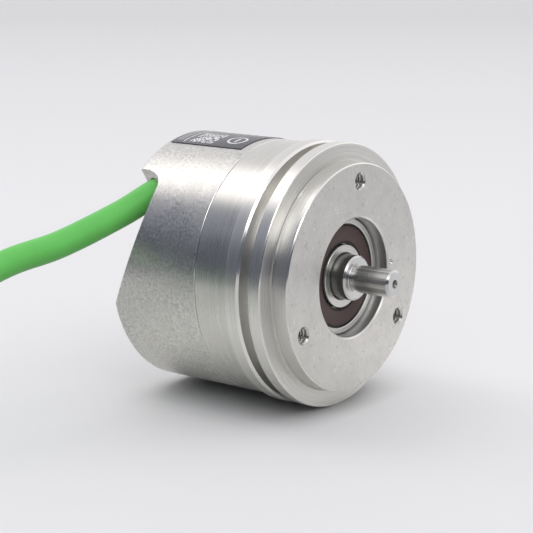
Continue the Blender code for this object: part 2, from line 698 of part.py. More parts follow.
def cable():
    path = smooth_path(CABLE_POINTS, PATH_STEPS)
    ahead = path[-1] - path[-2]
    ahead = Vector((ahead.x, ahead.y, 0)).normalized()
    frames = frames_along(path)
    tube("cable_jacket", frames, JACKET_R, JACKET_BORE_R, GREEN_JACKET, 10)
    shield_end = (path[-1] + SHIELD_BARE * ahead, frames[-1][1], frames[-1][2])
    tube("cable_shield", [*frames[1:], shield_end], SHIELD_R, SHIELD_BORE_R, TINNED_COPPER, 7)
    inward = -cable_direction()
    for index, finish in enumerate(CORE_COLOURS):
        quarter = tau * (index + 0.5) / 4
        offsets = [CORE_CIRCLE_R * (cos(quarter) * side + sin(quarter) * up) for _, side, up in frames]
        line = [point + offset for (point, _, _), offset in zip(frames, offsets)]
        row = Vector((1.5 - 2.0 * CORE_SLOTS[index], 32.6, 11.6))
        lead = [row, row + Vector((0, 0, 2.2)), line[0] + 3.6 * inward + 0.8 * offsets[0]]
        bare = line[-1] + (SHIELD_BARE + 1) * ahead
        tail = bare + CORE_BARE * ahead + 2.0 * offsets[-1]
        wire = [*smooth_path([*lead, line[0]], PATH_STEPS)[:-1], *line, bare, tail]
        rings = [ring_points(frame, CORE_R, 5) for frame in frames_along(wire)]
        chain(f"cable_core_{index + 1}", rings, finish, False)


def cable_fittings():
    """The rubber grommet in the cover's bore and the crimp ferrule on the jacket's inner end."""
    washer("cable_grommet", GROMMET_R, GROMMET_Y, BLACK_RUBBER, FITTING_STEPS, along_cable(0))
    inner_end = along_cable(-(CABLE_EXIT - CABLE_START).length - 0.2)
    washer("cable_ferrule", FERRULE_R, (0, FERRULE_LENGTH), STEEL, FITTING_STEPS, inner_end)


def build():
    clear_scene()
    flange_housing()
    shaft()
    bearings()
    spacer_sleeve()
    wave_washer()
    retaining_ring()
    disc_group()
    scanning_unit()
    circuit_board()
    board_connector()
    rear_cover()
    cover_o_ring()
    cover_screws()
    cable()
    cable_fittings()
    label()


build()
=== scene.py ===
"""Looks of the rotary encoder: fine turned and cast surfaces, threads, seal, label, cable and studio."""

import json
import random
from math import ceil, cos, pi, radians, sin, sqrt, tau

import bmesh
import bpy
from mathutils import Matrix, Vector

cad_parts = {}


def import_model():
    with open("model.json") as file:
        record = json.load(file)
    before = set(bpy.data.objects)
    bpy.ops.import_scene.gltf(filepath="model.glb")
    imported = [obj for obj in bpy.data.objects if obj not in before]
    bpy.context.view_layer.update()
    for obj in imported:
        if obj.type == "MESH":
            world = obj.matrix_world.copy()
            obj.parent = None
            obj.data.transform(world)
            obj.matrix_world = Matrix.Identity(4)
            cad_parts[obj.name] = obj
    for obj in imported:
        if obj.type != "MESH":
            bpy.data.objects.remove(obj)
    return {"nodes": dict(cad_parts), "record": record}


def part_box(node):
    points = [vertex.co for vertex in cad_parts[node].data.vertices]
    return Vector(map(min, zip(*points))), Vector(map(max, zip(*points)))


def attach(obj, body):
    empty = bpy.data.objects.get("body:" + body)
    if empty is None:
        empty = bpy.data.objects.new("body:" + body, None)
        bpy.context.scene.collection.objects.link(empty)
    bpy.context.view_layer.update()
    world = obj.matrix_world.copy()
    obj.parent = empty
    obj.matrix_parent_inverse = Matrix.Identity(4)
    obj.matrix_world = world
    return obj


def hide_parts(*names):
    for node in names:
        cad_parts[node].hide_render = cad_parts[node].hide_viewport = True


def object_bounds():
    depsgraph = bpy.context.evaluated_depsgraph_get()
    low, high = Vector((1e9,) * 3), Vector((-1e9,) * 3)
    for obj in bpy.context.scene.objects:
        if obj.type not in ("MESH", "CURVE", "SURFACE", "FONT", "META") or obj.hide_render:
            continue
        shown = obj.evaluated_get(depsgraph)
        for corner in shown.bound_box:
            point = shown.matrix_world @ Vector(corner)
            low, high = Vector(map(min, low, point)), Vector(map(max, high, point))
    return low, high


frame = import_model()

CAD_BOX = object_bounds()
MM = 0.001
SPIGOT_HEIGHT = 4.0
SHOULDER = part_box("flange_housing")[0].y + SPIGOT_HEIGHT * MM
TO_SHOULDER = Matrix.Translation((0, SHOULDER, 0))

# Driving sizes of the visible pieces, in millimetres; places along Y count from the flange shoulder
FACE_Y = -SPIGOT_HEIGHT
SPIGOT_R = 25.0
RIM_R = 29.0
LIP_THICK = 3.0
GROOVE_R = 26.0
GROOVE_END_Y = 5.7
BAND_END_Y = 9.1
BODY_R = 28.25
JOINT_Y = 17.7
SEAM = 0.08
COVER_END_Y = 41.3
COVER_WALL = 1.95
RECESS_R = 13.05
RECESS_END_Y = 7.3
BEARING_FACE_Y = -0.8
SHAFT_TIP_Y = -14.2
HOLE_CIRCLE_R = 21.0
HOLE_ANGLES = (4.3, 124.3, 244.3)
THREAD_MAJOR_R = 2.02
THREAD_MINOR_R = 1.6
THREAD_PITCH = 0.7
THREAD_START_Y = -3.6
PUNCH_X = 14.17
PUNCH_Z = 1.19
BOSS_CIRCLE_R = 22.4
BOSS_R = 2.4
BOSS_ROOT_Y = 7.5
BOARD_BOSS_END_Y = 25.6
COVER_BOSS_END_Y = 19.9
BOARD_SCREW_ANGLES = (70, 190, 310)
COVER_SCREW_ANGLES = (10, 130, 250)
# The cable pocket: its angle about Y, its floor's slope and where that floor's plane meets the axis, its
# wall's place across and lean, the corner's radius, and how far along the floor the wall's place is given
POCKET_ANGLE = -53.7
POCKET_SLOPE = 0.679
POCKET_PLANE_Y = 53.2
POCKET_WALL_T = 7.1
POCKET_LEAN = 0.3
POCKET_FILLET_R = 5.5
POCKET_RIM_REACH = 30.0
LABEL_FROM_ANGLE = -18.0
LABEL_TO_ANGLE = 62.0
LABEL_Y0 = 20.4
LABEL_Y1 = 40.3
CABLE_START = Vector((-11.0, 33.8, 18.8))
CABLE_EXIT = Vector((-16.6, 37.6, 17.0))
CABLE_POINTS = [
    CABLE_START,
    CABLE_EXIT,
    Vector((-24.0, 42.3, 12.4)),
    Vector((-38.4, 46.8, 7.4)),
    Vector((-53.2, 50.0, 4.6)),
    Vector((-75.0, 54.0, -3.0)),
    Vector((-95.0, 57.5, -16.0)),
    Vector((-109.0, 60.0, -24.6)),
    Vector((-124.0, 62.0, -25.9)),
]
# Steps of a full turn on the large round pieces
ROUND = 256
# Edges that turn by more than this many degrees stay sharp
SHARP_CAST = 18
SHARP_TURNED = 8
SHARP_TUBE = 40
# Points closer than this become one after a Boolean
WELD = 0.0005 * MM


# Meshes


def mesh_object(name, verts, faces, material, sharp):
    """A closed mesh of millimetre points, moved to its place, smooth except at its edges."""
    bm = bmesh.new()
    made = [bm.verts.new(TO_SHOULDER @ (Vector(v) * MM)) for v in verts]
    for face in faces:
        bm.faces.new([made[i] for i in face])
    bmesh.ops.recalc_face_normals(bm, faces=bm.faces)
    if bm.calc_volume(signed=True) < 0:
        bmesh.ops.reverse_faces(bm, faces=bm.faces)
    mesh = bpy.data.meshes.new(name)
    bm.to_mesh(mesh)
    bm.free()
    item = bpy.data.objects.new(name, mesh)
    bpy.context.scene.collection.objects.link(item)
    if material:
        mesh.materials.append(material)
    mesh.shade_smooth()
    mesh.set_sharp_from_angle(angle=radians(sharp))
    return item


def soften(outline, radius, closed):
    """Rounds the corners of an outline with short three-point arcs."""
    least_turn, longest_share, bulge = radians(20), 0.45, 0.58
    points = [Vector(p) for p in outline]
    count = len(points)
    soft = []
    for i, corner in enumerate(points):
        if not closed and i in (0, count - 1):
            soft.append(tuple(corner))
            continue
        back = points[i - 1] - corner
        ahead = points[(i + 1) % count] - corner
        doubled = min(back.length, ahead.length) < 1e-6
        if doubled or pi - back.angle(ahead) < least_turn:
            soft.append(tuple(corner))
            continue
        reach = min(radius, longest_share * back.length, longest_share * ahead.length)
        start = corner + reach * back.normalized()
        end = corner + reach * ahead.normalized()
        chord = (start + end) / 2
        middle = chord + bulge * (corner - chord)
        soft += [tuple(start), tuple(middle), tuple(end)]
    return soft


def lathe(
    name, outline, material, steps=ROUND, round_by=0.0, place=None, start=0.0, turn=360.0, sharp=SHARP_CAST,
):
    """Turns an outline of (radius, y) points about Y; an outline that reaches the axis closes there."""
    closed = outline[0][0] > 0 or outline[-1][0] > 0
    if round_by:
        outline = soften(outline, round_by, closed)
    whole = turn == 360.0
    rows = steps if whole else steps + 1
    verts, faces, rings = [], [], []
    for r, y in outline:
        if r == 0:
            rings.append([len(verts)] * rows)
            verts.append(Vector((0, y, 0)))
            continue
        rings.append(list(range(len(verts), len(verts) + rows)))
        for k in range(rows):
            angle = radians(start) + radians(turn) * k / steps
            verts.append(Vector((r * sin(angle), y, r * cos(angle))))
    pairs = list(zip(rings, rings[1:]))
    if closed:
        pairs.append((rings[-1], rings[0]))
    for one, two in pairs:
        for k in range(steps):
            j = (k + 1) % rows
            corners = [one[k], one[j], two[j], two[k]]
            face = [v for n, v in enumerate(corners) if v not in corners[:n]]
            if len(face) > 2:
                faces.append(face)
    if not whole:
        faces.append([ring[0] for ring in rings])
        faces.append([ring[-1] for ring in rings])
    if place is not None:
        verts = [place @ v for v in verts]
    return mesh_object(name, verts, faces, material, sharp)


def merged(name, items, material):
    """One object of one material holding the meshes of several, which are removed."""
    bm = bmesh.new()
    for item in items:
        bm.from_mesh(item.data)
        bpy.data.objects.remove(item)
    mesh = bpy.data.meshes.new(name)
    bm.to_mesh(mesh)
    bm.free()
    mesh.materials.append(material)
    item = bpy.data.objects.new(name, mesh)
    bpy.context.scene.collection.objects.link(item)
    return item


def combine(target, tool, operation, sharp=SHARP_CAST):
    """Applies one Boolean to the target and removes the tool, whose material the faces it leaves take."""
    modifier = target.modifiers.new("shape", "BOOLEAN")
    modifier.operation = operation
    modifier.material_mode = "TRANSFER"
    modifier.object = tool
    evaluated = target.evaluated_get(bpy.context.evaluated_depsgraph_get())
    mesh = bpy.data.meshes.new_from_object(evaluated)
    target.modifiers.clear()
    target.data = mesh
    bpy.data.objects.remove(tool)
    bm = bmesh.new()
    bm.from_mesh(mesh)
    bmesh.ops.remove_doubles(bm, verts=bm.verts, dist=WELD)
    bmesh.ops.dissolve_degenerate(bm, edges=bm.edges, dist=WELD)
    bm.to_mesh(mesh)
    bm.free()
    mesh.shade_smooth()
    mesh.set_sharp_from_angle(angle=radians(sharp))


def paint(item, material, chosen):
    """Gives a further material to the faces chosen by their radius, place along Y and normal along Y."""
    mesh = item.data
    mesh.materials.append(material)
    slot = len(mesh.materials) - 1
    for polygon in mesh.polygons:
        radius = sqrt(polygon.center.x ** 2 + polygon.center.z ** 2) / MM
        y = (polygon.center.y - SHOULDER) / MM
        if chosen(radius, y, polygon.normal.y):
            polygon.material_index = slot


def on_circle(radius, angle):
    """The place on a circle about Y, by its angle in degrees from upright towards +X."""
    return Matrix.Translation((radius * sin(radians(angle)), 0, radius * cos(radians(angle))))


def rod(radius, y0, y1, steps, place=None, material=None):
    return lathe("rod", [(0, y0), (radius, y0), (radius, y1), (0, y1)], material, steps, place=place)


def smooth_path(points, steps):
    """Catmull-Rom curve through the points."""
    ends = [2 * points[0] - points[1], *points, 2 * points[-1] - points[-2]]
    path = []
    for p0, p1, p2, p3 in zip(ends, ends[1:], ends[2:], ends[3:]):
        for step in range(steps):
            t = step / steps
            linear = p2 - p0
            square = 2 * p0 - 5 * p1 + 4 * p2 - p3
            cube = 3 * p1 - p0 - 3 * p2 + p3
            path.append((2 * p1 + t * linear + t * t * square + t * t * t * cube) / 2)
    return [*path, points[-1]]


def frames_along(path):
    """For each point: the point and two unit vectors square to the path, carried without twisting."""
    side = Vector((0, 0, 1))
    frames = []
    for index, point in enumerate(path):
        before = path[max(index - 1, 0)]
        after = path[min(index + 1, len(path) - 1)]
        forward = (after - before).normalized()
        side = (side - side.dot(forward) * forward).normalized()
        frames.append((point, side, forward.cross(side)))
    return frames


def ring_points(frame_at, radius, sides):
    centre, side, up = frame_at
    angles = [tau * i / sides for i in range(sides)]
    return [centre + radius * (cos(angle) * side + sin(angle) * up) for angle in angles]


def chain(name, rings, material, endless):
    """Joins neighbouring rings of points with quads; an endless chain also joins its last to its first."""
    sides = len(rings[0])
    verts = [point for ring in rings for point in ring]
    count = len(rings) if endless else len(rings) - 1
    faces = []
    for row in range(count):
        one, two = row * sides, (row + 1) % len(rings) * sides
        faces += [[one + i, one + (i + 1) % sides, two + (i + 1) % sides, two + i] for i in range(sides)]
    if not endless:
        faces.append(list(range(sides)))
        faces.append(list(range(len(verts) - sides, len(verts))))
    return mesh_object(name, verts, faces, material, SHARP_TUBE)


# Materials: a noise's scale counts features per metre, and a bump's distance is in millimetres


def shade(colour, factor):
    """The colour made darker or paler by a factor, kept within white."""
    return tuple(min(1.0, channel * factor) for channel in colour)


class Wiring:
    """Short helpers that add nodes to a tree and link them; place is the vector its patterns read."""

    def __init__(self, tree, place):
        self.tree = tree
        self.place = self.node("ShaderNodeTexCoord").outputs[place]

    def node(self, kind, **inputs):
        made = self.tree.nodes.new(kind)
        for key, value in inputs.items():
            self.feed(made.inputs[key.replace("_", " ")], value)
        return made

    def feed(self, socket, value):
        if isinstance(value, bpy.types.NodeSocket):
            self.tree.links.new(value, socket)
        else:
            socket.default_value = value

    def math(self, operation, first, second=0.0):
        made = self.tree.nodes.new("ShaderNodeMath")
        made.operation = operation
        self.feed(made.inputs[0], first)
        self.feed(made.inputs[1], second)
        return made.outputs[0]

    def vector_math(self, operation, second):
        """The place multiplied, or dotted, with a vector."""
        made = self.tree.nodes.new("ShaderNodeVectorMath")
        made.operation = operation
        self.tree.links.new(self.place, made.inputs[0])
        made.inputs[1].default_value = second
        return made

    def stretched(self, x, y, z):
        """The place with each axis scaled, for streaks."""
        return self.vector_math("MULTIPLY", (x, y, z)).outputs["Vector"]

    def distance(self, direction):
        """How far the place lies along a direction."""
        return self.vector_math("DOT_PRODUCT", direction).outputs["Value"]

    def split(self, vector):
        """The x, y and z of a vector."""
        parts = self.node("ShaderNodeSeparateXYZ")
        self.tree.links.new(vector, parts.inputs[0])
        return parts.outputs

    def noise(self, scale, detail=2.0, where=None, roughness=0.5):
        made = self.node("ShaderNodeTexNoise", Scale=scale, Detail=detail, Roughness=roughness)
        self.tree.links.new(where or self.place, made.inputs["Vector"])
        return made.outputs["Fac"]

    def range(self, value, low, high, start=0.3, end=0.7, smooth=False):
        """Maps start..end onto low..high, clamped."""
        made = self.node("ShaderNodeMapRange")
        self.feed(made.inputs["Value"], value)
        for key, number in (("From Min", start), ("From Max", end), ("To Min", low), ("To Max", high)):
            made.inputs[key].default_value = number
        if smooth:
            made.interpolation_type = "SMOOTHSTEP"
        return made.outputs[0]

    def tint(self, factor, one, two):
        """The first colour where the factor is 0, the second where it is 1."""
        made = self.tree.nodes.new("ShaderNodeMix")
        made.data_type = "RGBA"
        self.feed(made.inputs["Factor"], factor)
        for index, colour in ((6, one), (7, two)):
            value = colour if isinstance(colour, bpy.types.NodeSocket) else (*colour, 1)
            self.feed(made.inputs[index], value)
        return made.outputs[2]

    def light_path(self, kind):
        return self.node("ShaderNodeLightPath").outputs[kind]


class Shader(Wiring):
    """A Principled material whose patterns read the object's own place."""

    def __init__(self, name, colour, roughness, metallic):
        self.material = bpy.data.materials.new(name)
        self.material.use_nodes = True
        super().__init__(self.material.node_tree, "Object")
        self.bsdf = self.tree.nodes["Principled BSDF"]
        self.set("Base Color", (*colour, 1))
        self.set("Roughness", roughness)
        self.set("Metallic", metallic)

    def set(self, key, value):
        self.feed(self.bsdf.inputs[key], value)

    def normal(self):
        """The x, y and z of the surface's normal."""
        return self.split(self.node("ShaderNodeNewGeometry").outputs["Normal"])

    def turned(self, scale):
        """Noise that changes only with radius and Y, as turning marks do on faces and on round sides."""
        y_share = 0.83
        x, y, z = self.split(self.place)
        radius = self.math("SQRT", self.math("ADD", self.math("MULTIPLY", x, x), self.math("MULTIPLY", z, z)))
        made = self.tree.nodes.new("ShaderNodeTexNoise")
        made.noise_dimensions = "1D"
        made.inputs["Detail"].default_value = 3
        self.feed(made.inputs["Scale"], scale)
        self.feed(made.inputs["W"], self.math("ADD", radius, self.math("MULTIPLY", y, y_share)))
        return made.outputs["Fac"]

    def bump(self, height, strength, distance_mm):
        made = self.node("ShaderNodeBump", Strength=strength, Distance=distance_mm * MM)
        self.feed(made.inputs["Height"], height)
        if self.bsdf.inputs["Normal"].is_linked:
            self.tree.links.new(self.bsdf.inputs["Normal"].links[0].from_socket, made.inputs["Normal"])
        self.tree.links.new(made.outputs[0], self.bsdf.inputs["Normal"])

    def uneven_roughness(self, roughness, *ranges):
        """A roughness that wanders by the sum of the ranges."""
        wander = ranges[0]
        for further in ranges[1:]:
            wander = self.math("ADD", wander, further)
        self.set("Roughness", self.math("ADD", wander, roughness))

    def mute_mirror_image(self, tone, share, muted):
        """Sets the colour: the tone, or partly a muted one where the metal mirrors this piece."""
        mirrored = self.math("MULTIPLY", self.light_path("Is Glossy Ray"), share)
        self.set("Base Color", self.tint(mirrored, tone, muted))


def turned_metal(
    name, colour, roughness, mark=0.35, mottle=0.10, along=0.0, grain=0.10, bands=0.0, streaks=0.0,
):
    """Lathe-turned metal: fine rings in bump and roughness, and reflections drawn out across the rings.

    mark and grain are bump strengths, mottle and bands are depths of tone, along is the anisotropy, and
    streaks is the depth of the dark lines along Y, partly drawn marks and partly a painted reflection.
    """
    s = Shader(name, colour, roughness, 1.0)
    rings = s.turned(3800)
    stain = s.noise(140, 5)
    fine = s.noise(3500, 2)
    tone = s.tint(s.range(s.turned(1500), 0, 1, 0.38, 0.62), colour, shade(colour, 1 - bands))
    tone = s.tint(s.range(stain, 0, 1), tone, shade(colour, 1 - 2 * mottle))
    if streaks:
        tone = drawn_lines_and_painted_reflections(s, tone, colour, streaks)
    s.set("Base Color", tone)
    s.uneven_roughness(roughness, s.range(rings, -0.03, 0.03), s.range(stain, -0.02, 0.03))
    s.set("Anisotropic", along)
    s.set("Anisotropic Rotation", 0.25)
    tangent = s.tree.nodes.new("ShaderNodeTangent")
    tangent.direction_type = "RADIAL"
    tangent.axis = "Y"
    s.set("Tangent", tangent.outputs[0])
    s.bump(rings, mark, 0.012)
    s.bump(fine, grain, 0.008)
    return s.material


def drawn_lines_and_painted_reflections(s, tone, colour, depth):
    """Dark lines along Y on the round sides, partly drawn marks and partly a painted reflection, and end
    faces a little darker than the sides.
    """
    round_side = s.range(s.math("ABSOLUTE", s.normal()[1]), 1, 0, 0.2, 0.5)
    # Painted reflection: dark lines in the colour that stand in for mirrored dark lines, partly also drawn
    # marks
    line = s.range(s.noise(1, 2, s.stretched(850, 12, 850)), 0, 1, 0.42, 0.56)
    tone = s.tint(round_side, shade(colour, 0.8), tone)
    return s.tint(s.math("MULTIPLY", line, round_side), tone, shade(colour, 1 - depth))


def face_metal(name, colour, roughness):
    """A finely finished flat face: cloudy grain, dark pits, pale flecks and a few hairline scratches."""
    s = Shader(name, colour, roughness, 1.0)
    cloud = s.noise(260, 6, roughness=0.7)
    grain = s.noise(2100, 3, roughness=0.6)
    pit = s.range(s.noise(900, 4, roughness=0.7), 0, 1, 0.60, 0.66)
    fleck = s.range(s.noise(1100, 4, s.stretched(1, 1, 0.6), roughness=0.7), 0, 1, 0.59, 0.67)
    level = s.range(s.noise(1, 2, s.stretched(60, 1, 2400)), 0, 1, 0.70, 0.74)
    sloping = s.range(s.noise(1, 2, s.stretched(900, 1, 45)), 0, 1, 0.73, 0.77)
    scratch = s.math("MAXIMUM", level, sloping)
    darker, dull, pale = shade(colour, 0.86), shade(colour, 0.50), shade(colour, 1.16)
    tone = s.tint(s.range(cloud, 0, 1, 0.25, 0.75), colour, darker)
    tone = s.tint(s.range(grain, 0, 0.5, 0.4, 0.65), tone, darker)
    tone = s.tint(s.math("MULTIPLY", fleck, 0.6), tone, pale)
    tone = s.tint(s.math("MULTIPLY", sloping, 0.3), tone, dull)
    tone = s.tint(s.math("MULTIPLY", level, 0.5), tone, pale)
    s.set("Base Color", s.tint(s.math("MULTIPLY", pit, 0.45), tone, dull))
    s.uneven_roughness(roughness, s.range(cloud, -0.05, 0.05))
    s.bump(grain, 0.30, 0.014)
    s.bump(scratch, 0.12, 0.01)
    return s.material


def blasted_metal(name, colour, roughness, grain_mm):
    """Bead-blasted casting: two sizes of grain, pale and dark flecks, small dents and soft stains."""
    s = Shader(name, colour, roughness, 1.0)
    coarse = s.noise(1 / (grain_mm * MM), 5, roughness=0.7)
    fine = s.noise(3.4 / (grain_mm * MM), 2)
    stain = s.noise(190, 5, roughness=0.6)
    dent = s.range(s.noise(620, 2), 0, 1, 0.70, 0.74)
    flecked = s.tint(s.range(coarse, 0, 1, 0.34, 0.66), shade(colour, 0.64), shade(colour, 1.26))
    tone = s.tint(s.range(stain, 0.05, 0.5), flecked, colour)
    s.set("Base Color", s.tint(s.range(stain, 0, 0.4, 0.5, 0.68), tone, shade(colour, 0.90)))
    s.uneven_roughness(roughness, s.range(coarse, -0.05, 0.05), s.range(stain, -0.03, 0.03))
    s.bump(coarse, 0.12, 0.03)
    s.bump(fine, 0.14, 0.012)
    s.bump(dent, 0.15, 0.02)
    return s.material


def rubber(name, colour, roughness):
    """Moulded rubber with soft clouds of tone, and a muted mirror image in the metal."""
    s = Shader(name, colour, roughness, 0.0)
    cloud = s.noise(220, 4)
    paler = tuple(min(1.0, channel * 1.35 + 0.006) for channel in colour)
    s.mute_mirror_image(s.tint(s.range(cloud, 0, 1), colour, paler), 0.8, (0.13, 0.13, 0.115))
    s.set("Roughness", s.range(cloud, roughness - 0.07, roughness + 0.07))
    s.bump(s.noise(2600, 3), 0.25, 0.02)
    return s.material


def plastic(name, colour, roughness, texture=0.12):
    """Moulded plastic: a soft variation of tone and gloss, and a fine texture."""
    s = Shader(name, colour, roughness, 0.0)
    cloud = s.noise(160, 3)
    s.set("Base Color", s.tint(s.range(cloud, 0, 1), colour, shade(colour, 0.92)))
    s.set("Roughness", s.range(cloud, roughness - 0.05, roughness + 0.06))
    s.bump(s.noise(1800, 3), texture, 0.02)
    return s.material


def jacket_plastic(name, colour, roughness):
    """Cable jacket: fine grain, faint rings, painted shade on its underside and a muted mirror image in the
    metal.
    """
    s = Shader(name, colour, roughness, 0.0)
    cloud = s.noise(160, 3)
    # Painted shade: the jacket darkens on its underside, by the height of its normal
    under = s.range(s.normal()[2], 1, 0, -0.95, 0.3)
    tone = s.tint(s.range(cloud, 0, 1), colour, shade(colour, 0.93))
    s.mute_mirror_image(s.tint(under, tone, shade(colour, 0.52)), 0.7, (0.42, 0.46, 0.42))
    s.set("Specular IOR Level", 0.32)
    s.set("Roughness", s.range(cloud, roughness - 0.05, roughness + 0.06))
    s.bump(s.noise(1800, 3), 0.10, 0.02)
    s.bump(s.noise(1, 2, s.stretched(420, 60, 60)), 0.12, 0.05)
    return s.material


def glass(name):
    """Clear optical glass with faint smears in its polish."""
    s = Shader(name, (0.86, 0.92, 0.92), 0.04, 0.0)
    s.set("Transmission Weight", 0.9)
    s.set("IOR", 1.5)
    s.set("Roughness", s.range(s.noise(300, 2), 0.02, 0.08))
    return s.material


def board_green(name):
    """Solder mask over raised tracks, which show as paler cells."""
    mask, over_track = (0.008, 0.13, 0.055), (0.03, 0.27, 0.12)
    s = Shader(name, mask, 0.35, 0.0)
    cells = s.node("ShaderNodeTexVoronoi", Scale=420.0)
    cells.distance = "MANHATTAN"
    s.tree.links.new(s.place, cells.inputs["Vector"])
    tracks = s.range(cells.outputs["Distance"], 0, 1, 0.42, 0.5)
    s.set("Base Color", s.tint(tracks, mask, over_track))
    s.bump(tracks, 0.3, 0.03)
    return s.material


def paper_floor():
    """Pale paper, with painted shade far away and a painted shadow at the line of contact, and painted light
    and shade where the metal mirrors it.
    """
    s = Shader("paper_floor", (0.86, 0.857, 0.862), 0.7, 0.0)
    s.set("Specular IOR Level", 0.25)
    s.set("Base Color", s.tint(s.light_path("Is Glossy Ray"), floor_seen_with_painted_shade(s), painted_floor_reflection(s)))
    s.bump(s.noise(900, 2), 0.05, 0.05)
    return s.material


def floor_seen_with_painted_shade(s):
    """The floor's colour as the camera sees it, with painted shade far away and a painted contact shadow
    along the housing.
    """
    # far is painted shade farther from the camera; contact is a painted shadow where the housing meets the
    # floor
    pale, far, contact = (0.86, 0.857, 0.862), (0.69, 0.685, 0.69), (0.34, 0.34, 0.35)
    away_from_camera = s.distance((0.797, 0.604, 0))
    tone = s.tint(s.range(away_from_camera, 0, 1, 0.2, 1.3), pale, far)
    housing_middle = SHOULDER + (COVER_END_Y - SPIGOT_HEIGHT) / 2 * MM
    across = s.math("ABSOLUTE", s.distance((1, 0, 0)))
    along = s.math("ABSOLUTE", s.math("SUBTRACT", s.distance((0, 1, 0)), housing_middle))
    # Painted contact shadow: the floor is darker close under the housing
    contact_shadow_mask = s.math("MULTIPLY", s.range(across, 1, 0, 0.004, 0.023), s.range(along, 1, 0, 0.014, 0.026))
    return s.tint(contact_shadow_mask, tone, contact)


def painted_floor_reflection(s):
    """The floor's colour in the metal, all painted light and shade: pale beside the face, grey farther out,
    dark behind the cable.
    """
    # Painted light and painted shade for the floor as the metal mirrors it
    painted_light_under_flange, painted_shade_under_cover, painted_light_beside_face = (0.94, 0.94, 0.92), (0.68, 0.68, 0.67), (1.0, 1.0, 0.99)
    painted_shade_near_camera, painted_shade_farther_out, painted_shade_behind_cable = (0.58, 0.58, 0.58), (0.66, 0.66, 0.67), (0.13, 0.14, 0.16)
    from_face = s.distance((0.797, -0.604, 0))
    from_camera = s.distance((0.604, 0.797, 0))
    toward_cable = s.distance((-0.8, 0.6, 0))
    tone = s.tint(s.range(s.distance((0, 1, 0)), 0, 1, -0.01, 0.02), painted_light_under_flange, painted_shade_under_cover)
    tone = s.tint(s.range(from_face, 0, 1, 0.02, 0.05), tone, painted_light_beside_face)
    tone = s.tint(s.range(from_camera, 0, 1, -0.10, -0.02), painted_shade_near_camera, tone)
    tone = s.tint(s.range(from_face, 0, 1, 0.08, 0.26), tone, painted_shade_farther_out)
    return s.tint(s.range(toward_cable, 0, 1, 0.17, 0.30), tone, painted_shade_behind_cable)


def make_materials():
    """Every material by its short name, with colours as linear shares of white."""
    return {
        "face": face_metal("machined_face", (0.785, 0.77, 0.735), 0.41),
        "bright": turned_metal(
            "turned_bright", (0.82, 0.81, 0.775), 0.30,
            mark=0.10, mottle=0.05, along=0.65, grain=0.06, bands=0.18,
        ),
        # Shinier chamfer finish whose paler tone is partly a painted highlight
        "edge": turned_metal("chamfer_finish_and_painted_highlight", (0.93, 0.92, 0.88), 0.16, mark=0.05, mottle=0.02, along=0.4),
        "bore": turned_metal(
            "bored_recess", (0.72, 0.71, 0.675), 0.28,
            mark=0.12, mottle=0.05, along=0.6, grain=0.08, bands=0.15,
        ),
        "body": turned_metal(
            "turned_body", (0.68, 0.672, 0.638), 0.27,
            mark=0.03, mottle=0.08, along=0.6, grain=0.05, bands=0.05,
        ),
        "inside": turned_metal("machined_inside", (0.66, 0.66, 0.65), 0.34, mark=0.2, mottle=0.06),
        "tapped": turned_metal("tapped_aluminium", (0.66, 0.65, 0.62), 0.20, mark=0.03),
        "cast": blasted_metal("blasted_aluminium", (0.65, 0.643, 0.615), 0.33, grain_mm=0.6),
        # The shaft steel's dark lines along Y are partly a painted reflection
        "steel": turned_metal(
            "ground_steel", (0.86, 0.855, 0.84), 0.19,
            mark=0.006, mottle=0.02, along=0.93, grain=0.006, streaks=0.5,
        ),
        # A darker steel for the shaft's journal; in the centre hole it is painted shade
        "dark_steel": turned_metal("darker_steel_and_hole_shade", (0.30, 0.30, 0.285), 0.32, mark=0.03, mottle=0.03),
        "ring": turned_metal("bearing_steel", (0.70, 0.69, 0.67), 0.28, mark=0.05, mottle=0.05, along=0.6),
        "seal": rubber("brown_rubber", (0.068, 0.038, 0.035), 0.5),
        "dark": rubber("black_rubber", (0.018, 0.017, 0.017), 0.6),
        "green": jacket_plastic("green_jacket", (0.175, 0.69, 0.14), 0.40),
        "braid": turned_metal("tinned_copper", (0.74, 0.71, 0.66), 0.3, mark=0.3),
        "board": board_green("board_green"),
        "black": plastic("black_plastic", (0.022, 0.022, 0.024), 0.4),
        "white": plastic("white_plastic", (0.76, 0.75, 0.71), 0.42),
        "glass": glass("optical_glass"),
        "label": plastic("label_film", (0.092, 0.092, 0.106), 0.27, texture=0.05),
        "print": plastic("label_print", (0.88, 0.88, 0.88), 0.4, texture=0.05),
        "core_1": plastic("core_white", (0.80, 0.80, 0.77), 0.4),
        "core_2": plastic("core_yellow", (0.80, 0.60, 0.05), 0.4),
        "core_3": plastic("core_blue", (0.04, 0.18, 0.60), 0.4),
        "core_4": plastic("core_orange", (0.80, 0.26, 0.03), 0.4),
    }


MATERIALS = make_materials()


def stand_for(piece, body, node):
    """Lets the piece ride on its body in place of a CAD node, which is hidden."""
    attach(piece, body)
    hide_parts(node)


# Flange


def thread_cutter(place, y0, y1):
    """A closed threaded rod that leaves a thread where it is cut away, fading in behind its mouth."""
    sides, rows_per_turn, flank = 48, 8, 1.15
    rows = ceil((y1 - y0) / THREAD_PITCH * rows_per_turn)
    rings = []
    for row in range(rows + 1):
        y = y0 + (y1 - y0) * row / rows
        depth = (THREAD_MAJOR_R - THREAD_MINOR_R) * min(1.0, max(0.0, (y - THREAD_START_Y) / THREAD_PITCH))
        ring = []
        for i in range(sides):
            angle = tau * i / sides
            phase = (y / THREAD_PITCH - i / sides) % 1.0
            r = THREAD_MINOR_R + depth * max(0.0, 1 - abs(2 * phase - 1) * flank)
            ring.append(place @ Vector((r * sin(angle), y, r * cos(angle))))
        rings.append(ring)
    return chain("thread", rings, None, False)


def boss_rods(radius, y0, y1, steps, angles):
    """Rods along Y at these angles of the circle that the bosses stand on."""
    return [rod(radius, y0, y1, steps, on_circle(BOSS_CIRCLE_R, angle)) for angle in angles]


